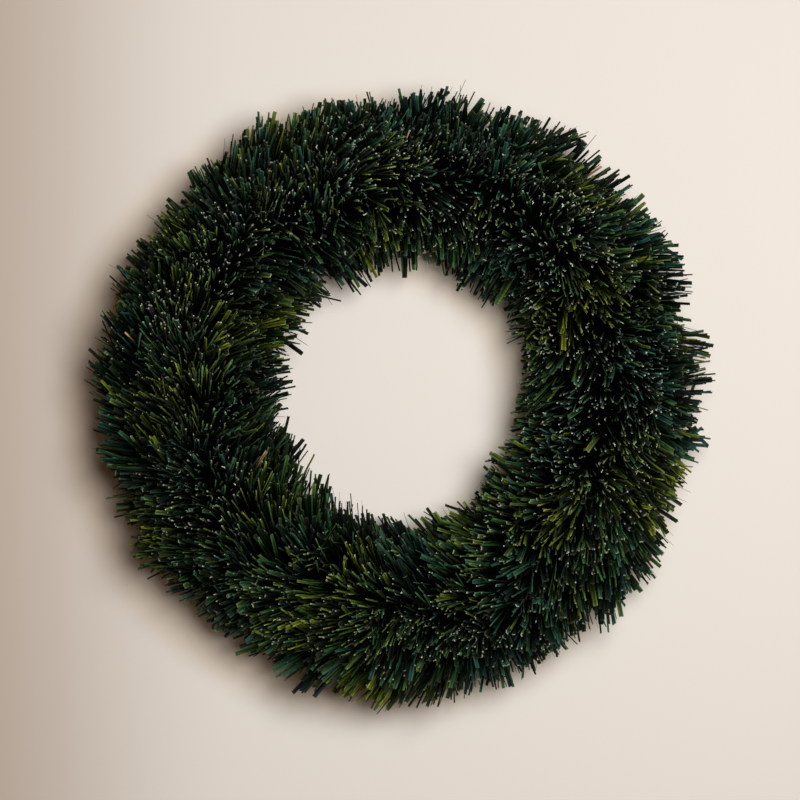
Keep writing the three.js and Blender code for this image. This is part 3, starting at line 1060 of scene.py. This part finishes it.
def grass_shade(tree, column, level, pale_end, grain):
    """How light the dye is: streaked along the grain, with painted shade in the fold and painted highlight
    on its edges, painted shade deep among the stalks, and lighter towards the cut.
    """
    blotch = map_noise(tree, column, level, BLOTCH_CELLS, Detail=2.0)
    across = calc(tree, "FRACT", calc(tree, "MULTIPLY", column, DYES))
    from_fold = calc(tree, "ABSOLUTE", calc(tree, "SUBTRACT", across, 0.5))
    painted_shade_deepest = calc(
        tree, "MULTIPLY_ADD", pale_end, (DULL_PAINTED_SHADE_DEPTH - PALE_PAINTED_SHADE_DEPTH) / MAP_SPAN, from_cut(DULL_PAINTED_SHADE_DEPTH))
    dry_span = [from_cut(distance) for distance in DRY_SPAN]
    shade = ramp(tree, grain, NOISE_SPAN, GRAIN_SHADES)
    for part in (
        ramp(tree, blotch, NOISE_SPAN, BLOTCH_SHADES),
        # Painted shade in the fold, painted highlight towards the blade's edges
        ramp(tree, from_fold, FOLD_SPAN, FOLD_SHADE_AND_HIGHLIGHT),
        # Painted shade deep among the stalks, reaching less far down on pale-ended ones
        ramp(tree, level, (painted_shade_deepest, dry_span[1]), PAINTED_DEPTH_SHADES),
        ramp(tree, level, dry_span, DRY_SHADES),
    ):
        shade = calc(tree, "MULTIPLY", shade, part)
    return shade


def cut_end(tree, colour, level, number, pale_end, dye):
    """Grass with its last centimetre a little faded, its end frayed, its cut pale or dull, and painted
    shade towards the bottom of a reed's hollow.
    """
    luck = result(add_node(tree, "ShaderNodeTexWhiteNoise", {"W": number}, noise_dimensions="1D"))
    palest = calc(tree, "MULTIPLY_ADD", luck, PALE_MORE, PALE_LEAST)
    paleness = calc(tree, "MULTIPLY_ADD", pale_end, palest, DULL_PALENESS)
    faded_span = [from_cut(distance) for distance in FADED_SPAN]
    frayed_span = [from_cut(distance) for distance in FRAYED_SPAN]
    edge_span = [CUT_LEVEL + edge for edge in CUT_EDGE_LEVELS]
    faded = ramp(tree, level, faded_span, (0.0, FADED_SHARE))
    frayed = ramp(tree, level, frayed_span, (0.0, FRAYED_SHARE))
    on_cut = ramp(tree, level, edge_span, (0.0, CUT_SHARE))
    colour = mix_colour(tree, faded, colour, dye.pith)
    colour = mix_colour(tree, calc(tree, "MULTIPLY", frayed, paleness), colour, dye.pith)
    colour = mix_colour(tree, calc(tree, "MULTIPLY", on_cut, paleness), colour, dye.pith)
    # Painted shade: dark towards the bottom of a reed's hollow
    hollow = ramp(tree, level, (CUT_LEVEL + HOLLOW_FROM * (1 - CUT_LEVEL), 1.0))
    return mix_colour(tree, hollow, colour, dye.packed)


def grass_material(dye):
    """Dyed dry grass: each dye has its column, streaked along the grain, paler towards the cut, with
    painted shade deep down and in the folds and painted highlight on the folds' edges.
    """
    material, tree, shader = new_material("dyed_grass")
    uv = add_node(tree, "ShaderNodeUVMap", uv_map=DYE_MAP)
    place = add_node(tree, "ShaderNodeSeparateXYZ", {"Vector": result(uv)})
    column, level = place.outputs["X"], place.outputs["Y"]
    number = calc(tree, "FLOOR", calc(tree, "MULTIPLY", column, DYES))
    pale_end = calc(tree, "MODULO", number, ENDS)
    grain = map_noise(tree, column, level, GRAIN_CELLS, Detail=3.0, Roughness=0.6)
    shade = grass_shade(tree, column, level, pale_end, grain)
    dyed = mix_colour(
        tree, 1.0, dye_ramp(tree, column, dye), combined(tree, shade, shade, shade), "MULTIPLY")
    colour = cut_end(tree, dyed, level, number, pale_end, dye)
    tree.links.new(colour, shader.inputs["Base Color"])
    tree.links.new(ramp(tree, grain, NOISE_SPAN, GRAIN_ROUGHNESS), shader.inputs["Roughness"])
    shader.inputs["Specular IOR Level"].default_value = GRASS_SHINE
    bump = add_node(tree, "ShaderNodeBump", {
        "Strength": GRAIN_BUMP, "Distance": GRAIN_DEPTH, "Height": grain})
    tree.links.new(result(bump), shader.inputs["Normal"])
    return material


def packed_material(dye):
    """Stalks pressed together where no light reaches, coloured nearly black as painted shade."""
    material, tree, shader = new_material("packed_grass")
    place = add_node(tree, "ShaderNodeTexCoord").outputs["Object"]
    stems = result(add_node(tree, "ShaderNodeTexVoronoi", {"Vector": place, "Scale": STEMS_SCALE}))
    lighter = [STEMS_LIGHTER * part for part in dye.packed]
    dark = mix_colour(tree, ramp(tree, stems, STEMS_SPAN), lighter, dye.packed)
    tree.links.new(dark, shader.inputs["Base Color"])
    shader.inputs["Roughness"].default_value = 1.0
    shader.inputs["Specular IOR Level"].default_value = 0.0
    return material


def steel_material(dye):
    """Drawn steel wire, dulled in patches."""
    material, tree, shader = new_material("wire_steel")
    place = add_node(tree, "ShaderNodeTexCoord").outputs["Object"]
    patches = result(add_node(tree, "ShaderNodeTexNoise", {
        "Vector": place, "Scale": STEEL_SCALE, "Detail": 4.0}))
    dull = [STEEL_DULL * part for part in dye.steel]
    colour = mix_colour(tree, ramp(tree, patches, STEEL_DULL_SPAN), dye.steel, dull)
    tree.links.new(colour, shader.inputs["Base Color"])
    tree.links.new(ramp(tree, patches, NOISE_SPAN, STEEL_ROUGHNESS), shader.inputs["Roughness"])
    shader.inputs["Metallic"].default_value = 1.0
    return material


def floor_material(stage):
    """A pale painted surface with the faintest unevenness, with painted shade on the left, a painted
    shadow beside the wreath and a glow further out.
    """
    material, tree, shader = new_material("pale_surface")
    place = add_node(tree, "ShaderNodeTexCoord").outputs["Object"]
    cloud = result(add_node(tree, "ShaderNodeTexNoise", {
        "Vector": place, "Scale": FLOOR_SCALE, "Detail": 2.0}))
    darker = [FLOOR_DARKER * part for part in stage.floor]
    colour = mix_colour(tree, cloud, stage.floor, darker)
    # Painted shade on the left, fading out far from the middle
    sideways = add_node(tree, "ShaderNodeSeparateXYZ", {"Vector": place}).outputs["X"]
    off = vector_calc(tree, "LENGTH", place)
    left_painted_shade = calc(
        tree, "MULTIPLY", ramp(tree, sideways, LEFT_PAINTED_SHADE_SPAN, (LEFT_PAINTED_SHADE_SHARE, 0.0)),
        ramp(tree, off, LEFT_PAINTED_SHADE_END_SPAN, (1.0, 0.0)))
    colour = mix_colour(tree, left_painted_shade, colour, stage.left_painted_shade)

    # Painted shadow: the surface is painted warmer than where it is lit, in a ring beside the wreath where
    # its shade falls
    from_middle = vector_calc(tree, "LENGTH", vector_calc(tree, "ADD", place, PAINTED_SHADOW_ASIDE))
    painted_shadow = calc(
        tree, "MULTIPLY", ramp(tree, from_middle, PAINTED_SHADOW_START_SPAN),
        ramp(tree, from_middle, PAINTED_SHADOW_END_SPAN, (1.0, 0.0)))
    colour = mix_colour(tree, painted_shadow, colour, PAINTED_SHADOW_TINT, "MULTIPLY")
    tree.links.new(colour, shader.inputs["Base Color"])

    # Past the light's reach the surface glows a little, so that it stays pale in a side view
    shader.inputs["Emission Color"].default_value = (*stage.floor, 1)
    glow = ramp(tree, off, GLOW_SPAN, (0.0, FLOOR_GLOW))
    tree.links.new(glow, shader.inputs["Emission Strength"])
    shader.inputs["Roughness"].default_value = FLOOR_ROUGHNESS
    shader.inputs["Specular IOR Level"].default_value = FLOOR_SHINE
    return material


def backdrop_material(stage):
    """Evenly lit pale paper."""
    material, _, shader = new_material("pale_backdrop")
    shader.inputs["Base Color"].default_value = (0, 0, 0, 1)
    shader.inputs["Specular IOR Level"].default_value = 0.0
    shader.inputs["Emission Color"].default_value = (*stage.floor, 1)
    shader.inputs["Emission Strength"].default_value = BACKDROP_GLOW
    return material


# Stage

SURFACE_HALF = 14.0
BACKDROP_RADIUS = 13.3
BACKDROP_HEIGHT = 8.0
BACKDROP_SIDES = 48
SENSOR_WIDTH = 36
KEY_COLOUR = (1.0, 0.985, 0.965)
FILL_COLOUR = (1.0, 0.62, 0.36)


def stage_surface(name, corners, faces, material):
    """A plain surface that stands round the part and isn't a piece of it."""
    mesh = bpy.data.meshes.new(name)
    mesh.from_pydata(corners, [], faces)
    surface = bpy.data.objects.new(name, mesh)
    surface.data.materials.append(material)
    bpy.context.scene.collection.objects.link(surface)
    return surface


def pale_surface(stage):
    """The surface that the wreath lies on."""
    half = SURFACE_HALF
    corners = [(-half, -half, 0), (half, -half, 0), (half, half, 0), (-half, half, 0)]
    stage_surface("surface", corners, [(0, 1, 2, 3)], floor_material(stage))


def pale_backdrop(stage):
    """A ring of paper that is only looked at: it neither lights nor shades the wreath."""
    turns = [math.tau * i / BACKDROP_SIDES for i in range(BACKDROP_SIDES)]
    corners = [
        (BACKDROP_RADIUS * math.cos(turn), BACKDROP_RADIUS * math.sin(turn), height)
        for height in (0, BACKDROP_HEIGHT) for turn in turns
    ]
    pairs = [(i, (i + 1) % BACKDROP_SIDES) for i in range(BACKDROP_SIDES)]
    faces = [(i, j, BACKDROP_SIDES + j, BACKDROP_SIDES + i) for i, j in pairs]
    backdrop = stage_surface("backdrop", corners, faces, backdrop_material(stage))
    backdrop.visible_diffuse = False
    backdrop.visible_glossy = False
    backdrop.visible_shadow = False


def overhead_camera(scene, stage):
    """The camera that looks straight down."""
    middle = ring_middle()
    camera = bpy.data.cameras.new("camera")
    camera.sensor_width = SENSOR_WIDTH
    camera.lens = camera.sensor_width * stage.camera_distance / stage.view_width
    camera_object = bpy.data.objects.new("camera", camera)
    camera_object.location = (
        middle[0] + stage.view_aside[0],
        middle[1] + stage.view_aside[1],
        RING_HEIGHT + stage.camera_distance,
    )
    scene.collection.objects.link(camera_object)
    scene.camera = camera_object


def key_light(scene, stage):
    """The large soft light, from above and the upper right."""
    key = bpy.data.lights.new("key", "AREA")
    key.shape = "DISK"
    key.size = stage.key_size
    key.energy = stage.key_power
    key.color = KEY_COLOUR
    key_object = bpy.data.objects.new("key", key)
    rise, turn = stage.key_rise, stage.key_turn
    way = (math.cos(rise) * math.cos(turn), math.cos(rise) * math.sin(turn), math.sin(rise))
    key_object.location = [stage.key_distance * part for part in way]
    key_object.rotation_euler = (math.pi / 2 - rise, 0, turn + math.pi / 2)
    scene.collection.objects.link(key_object)


def even_light(scene, stage):
    """A faint warm light from all sides."""
    world = bpy.data.worlds.new("even_light")
    world.use_nodes = True
    ground = world.node_tree.nodes["Background"]
    ground.inputs["Color"].default_value = (*FILL_COLOUR, 1)
    ground.inputs["Strength"].default_value = stage.fill
    scene.world = world


# Pieces

def grown_mesh(context, name, tree, plan, inputs):
    """The plain mesh that the tree makes of a bunch's plan."""
    points = bpy.data.objects.new("points", plan)
    context.scene.collection.objects.link(points)
    modifier = points.modifiers.new("fan", "NODES")
    modifier.node_group = tree
    for item in tree.interface.items_tree:
        if item.in_out == "INPUT" and item.name in inputs:
            modifier[item.identifier] = inputs[item.name]
    graph = context.evaluated_depsgraph_get()
    mesh = bpy.data.meshes.new_from_object(points.evaluated_get(graph), depsgraph=graph)
    if not mesh.polygons:
        raise RuntimeError(f"{name} came out empty")
    mesh.name = name
    bpy.data.objects.remove(points)
    return mesh


class WREATH_OT_stage(Operator):
    """Makes the pale surface, the soft light and the camera that looks straight down"""
    bl_idname = "wreath.stage"
    bl_label = "Stage"

    def execute(self, context):
        scene = context.scene
        stage = scene.wreath_stage
        pale_surface(stage)
        pale_backdrop(stage)
        overhead_camera(scene, stage)
        key_light(scene, stage)
        even_light(scene, stage)
        scene.view_settings.view_transform = "Standard"
        return {"FINISHED"}


class WREATH_OT_wires(Operator):
    """Gives the twisted wires and their binding a steel finish"""
    bl_idname = "wreath.wires"
    bl_label = "Wires"

    def execute(self, context):
        steel = steel_material(context.scene.wreath_dye)
        for name in (*WIRE_NODES, BINDING_NODE):
            for slot in frame["nodes"][name].material_slots:
                slot.material = steel
        return {"FINISHED"}


class WREATH_OT_grass(Operator):
    """Replaces each bunch of the frame by a finer bunch of blades, reeds and wisps"""
    bl_idname = "wreath.grass"
    bl_label = "Grass"

    def execute(self, context):
        scene = context.scene
        cut, stalks, dye = scene.wreath_cut, scene.wreath_stalks, scene.wreath_dye
        middle = ring_middle()
        tree = bunch_tree()
        templates = stalk_templates()
        packed = packed_material(dye)
        inputs = {
            "Blade": templates[BLADE],
            "Reed": templates[REED],
            "Wisp": templates[WISP],
            "Blade width": stalks.blade_width,
            "Reed width": stalks.reed_width,
            "Wisp width": stalks.wisp_width,
            "Uneven": stalks.uneven,
            "Sway": stalks.sway,
            "Kink": stalks.kink,
            "Broken": stalks.broken,
            "Grass": grass_material(dye),
        }
        for index, node in enumerate(BUNCH_NODES):
            name = "grass_" + node
            core = bpy.data.objects.new("packed", packed_mesh(cut, index, middle))
            core.data.materials.append(packed)
            plan = plan_mesh(lay_stalks(cut, index), middle)
            inputs["Packed middle"] = core
            inputs["Seed"] = SEED + index * BUNCH_SEED_STEP
            piece = bpy.data.objects.new(name, grown_mesh(context, name, tree, plan, inputs))
            bpy.data.objects.remove(core)
            scene.collection.objects.link(piece)
            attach(piece, "root")
            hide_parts(node)
        for template in templates:
            bpy.data.objects.remove(template)
        return {"FINISHED"}


class WREATH_PT_panel(Panel):
    """Lists the steps and the settings of the wreath"""
    bl_idname = "WREATH_PT_panel"
    bl_label = "Natural fiber wreath"
    bl_space_type = "VIEW_3D"
    bl_region_type = "UI"
    bl_category = "Wreath"

    def draw(self, context):
        for operator in OPERATORS:
            self.layout.operator(operator.bl_idname)
        for name in SETTINGS:
            group = getattr(context.scene, name)
            box = self.layout.box()
            for setting in group.__annotations__:
                box.prop(group, setting)


OPERATORS = (WREATH_OT_stage, WREATH_OT_wires, WREATH_OT_grass)
SETTINGS = {
    "wreath_cut": WreathCut,
    "wreath_stalks": WreathStalks,
    "wreath_dye": WreathDye,
    "wreath_stage": WreathStage,
}


def register():
    for group in SETTINGS.values():
        bpy.utils.register_class(group)
    for name, group in SETTINGS.items():
        setattr(bpy.types.Scene, name, PointerProperty(type=group))
    for operator in OPERATORS:
        bpy.utils.register_class(operator)
    bpy.utils.register_class(WREATH_PT_panel)


def unregister():
    bpy.utils.unregister_class(WREATH_PT_panel)
    for operator in reversed(OPERATORS):
        bpy.utils.unregister_class(operator)
    for name, group in SETTINGS.items():
        delattr(bpy.types.Scene, name)
        bpy.utils.unregister_class(group)


def main():
    register()
    bpy.ops.wreath.stage()
    bpy.ops.wreath.wires()
    bpy.ops.wreath.grass()


if __name__ == "__main__":
    main()
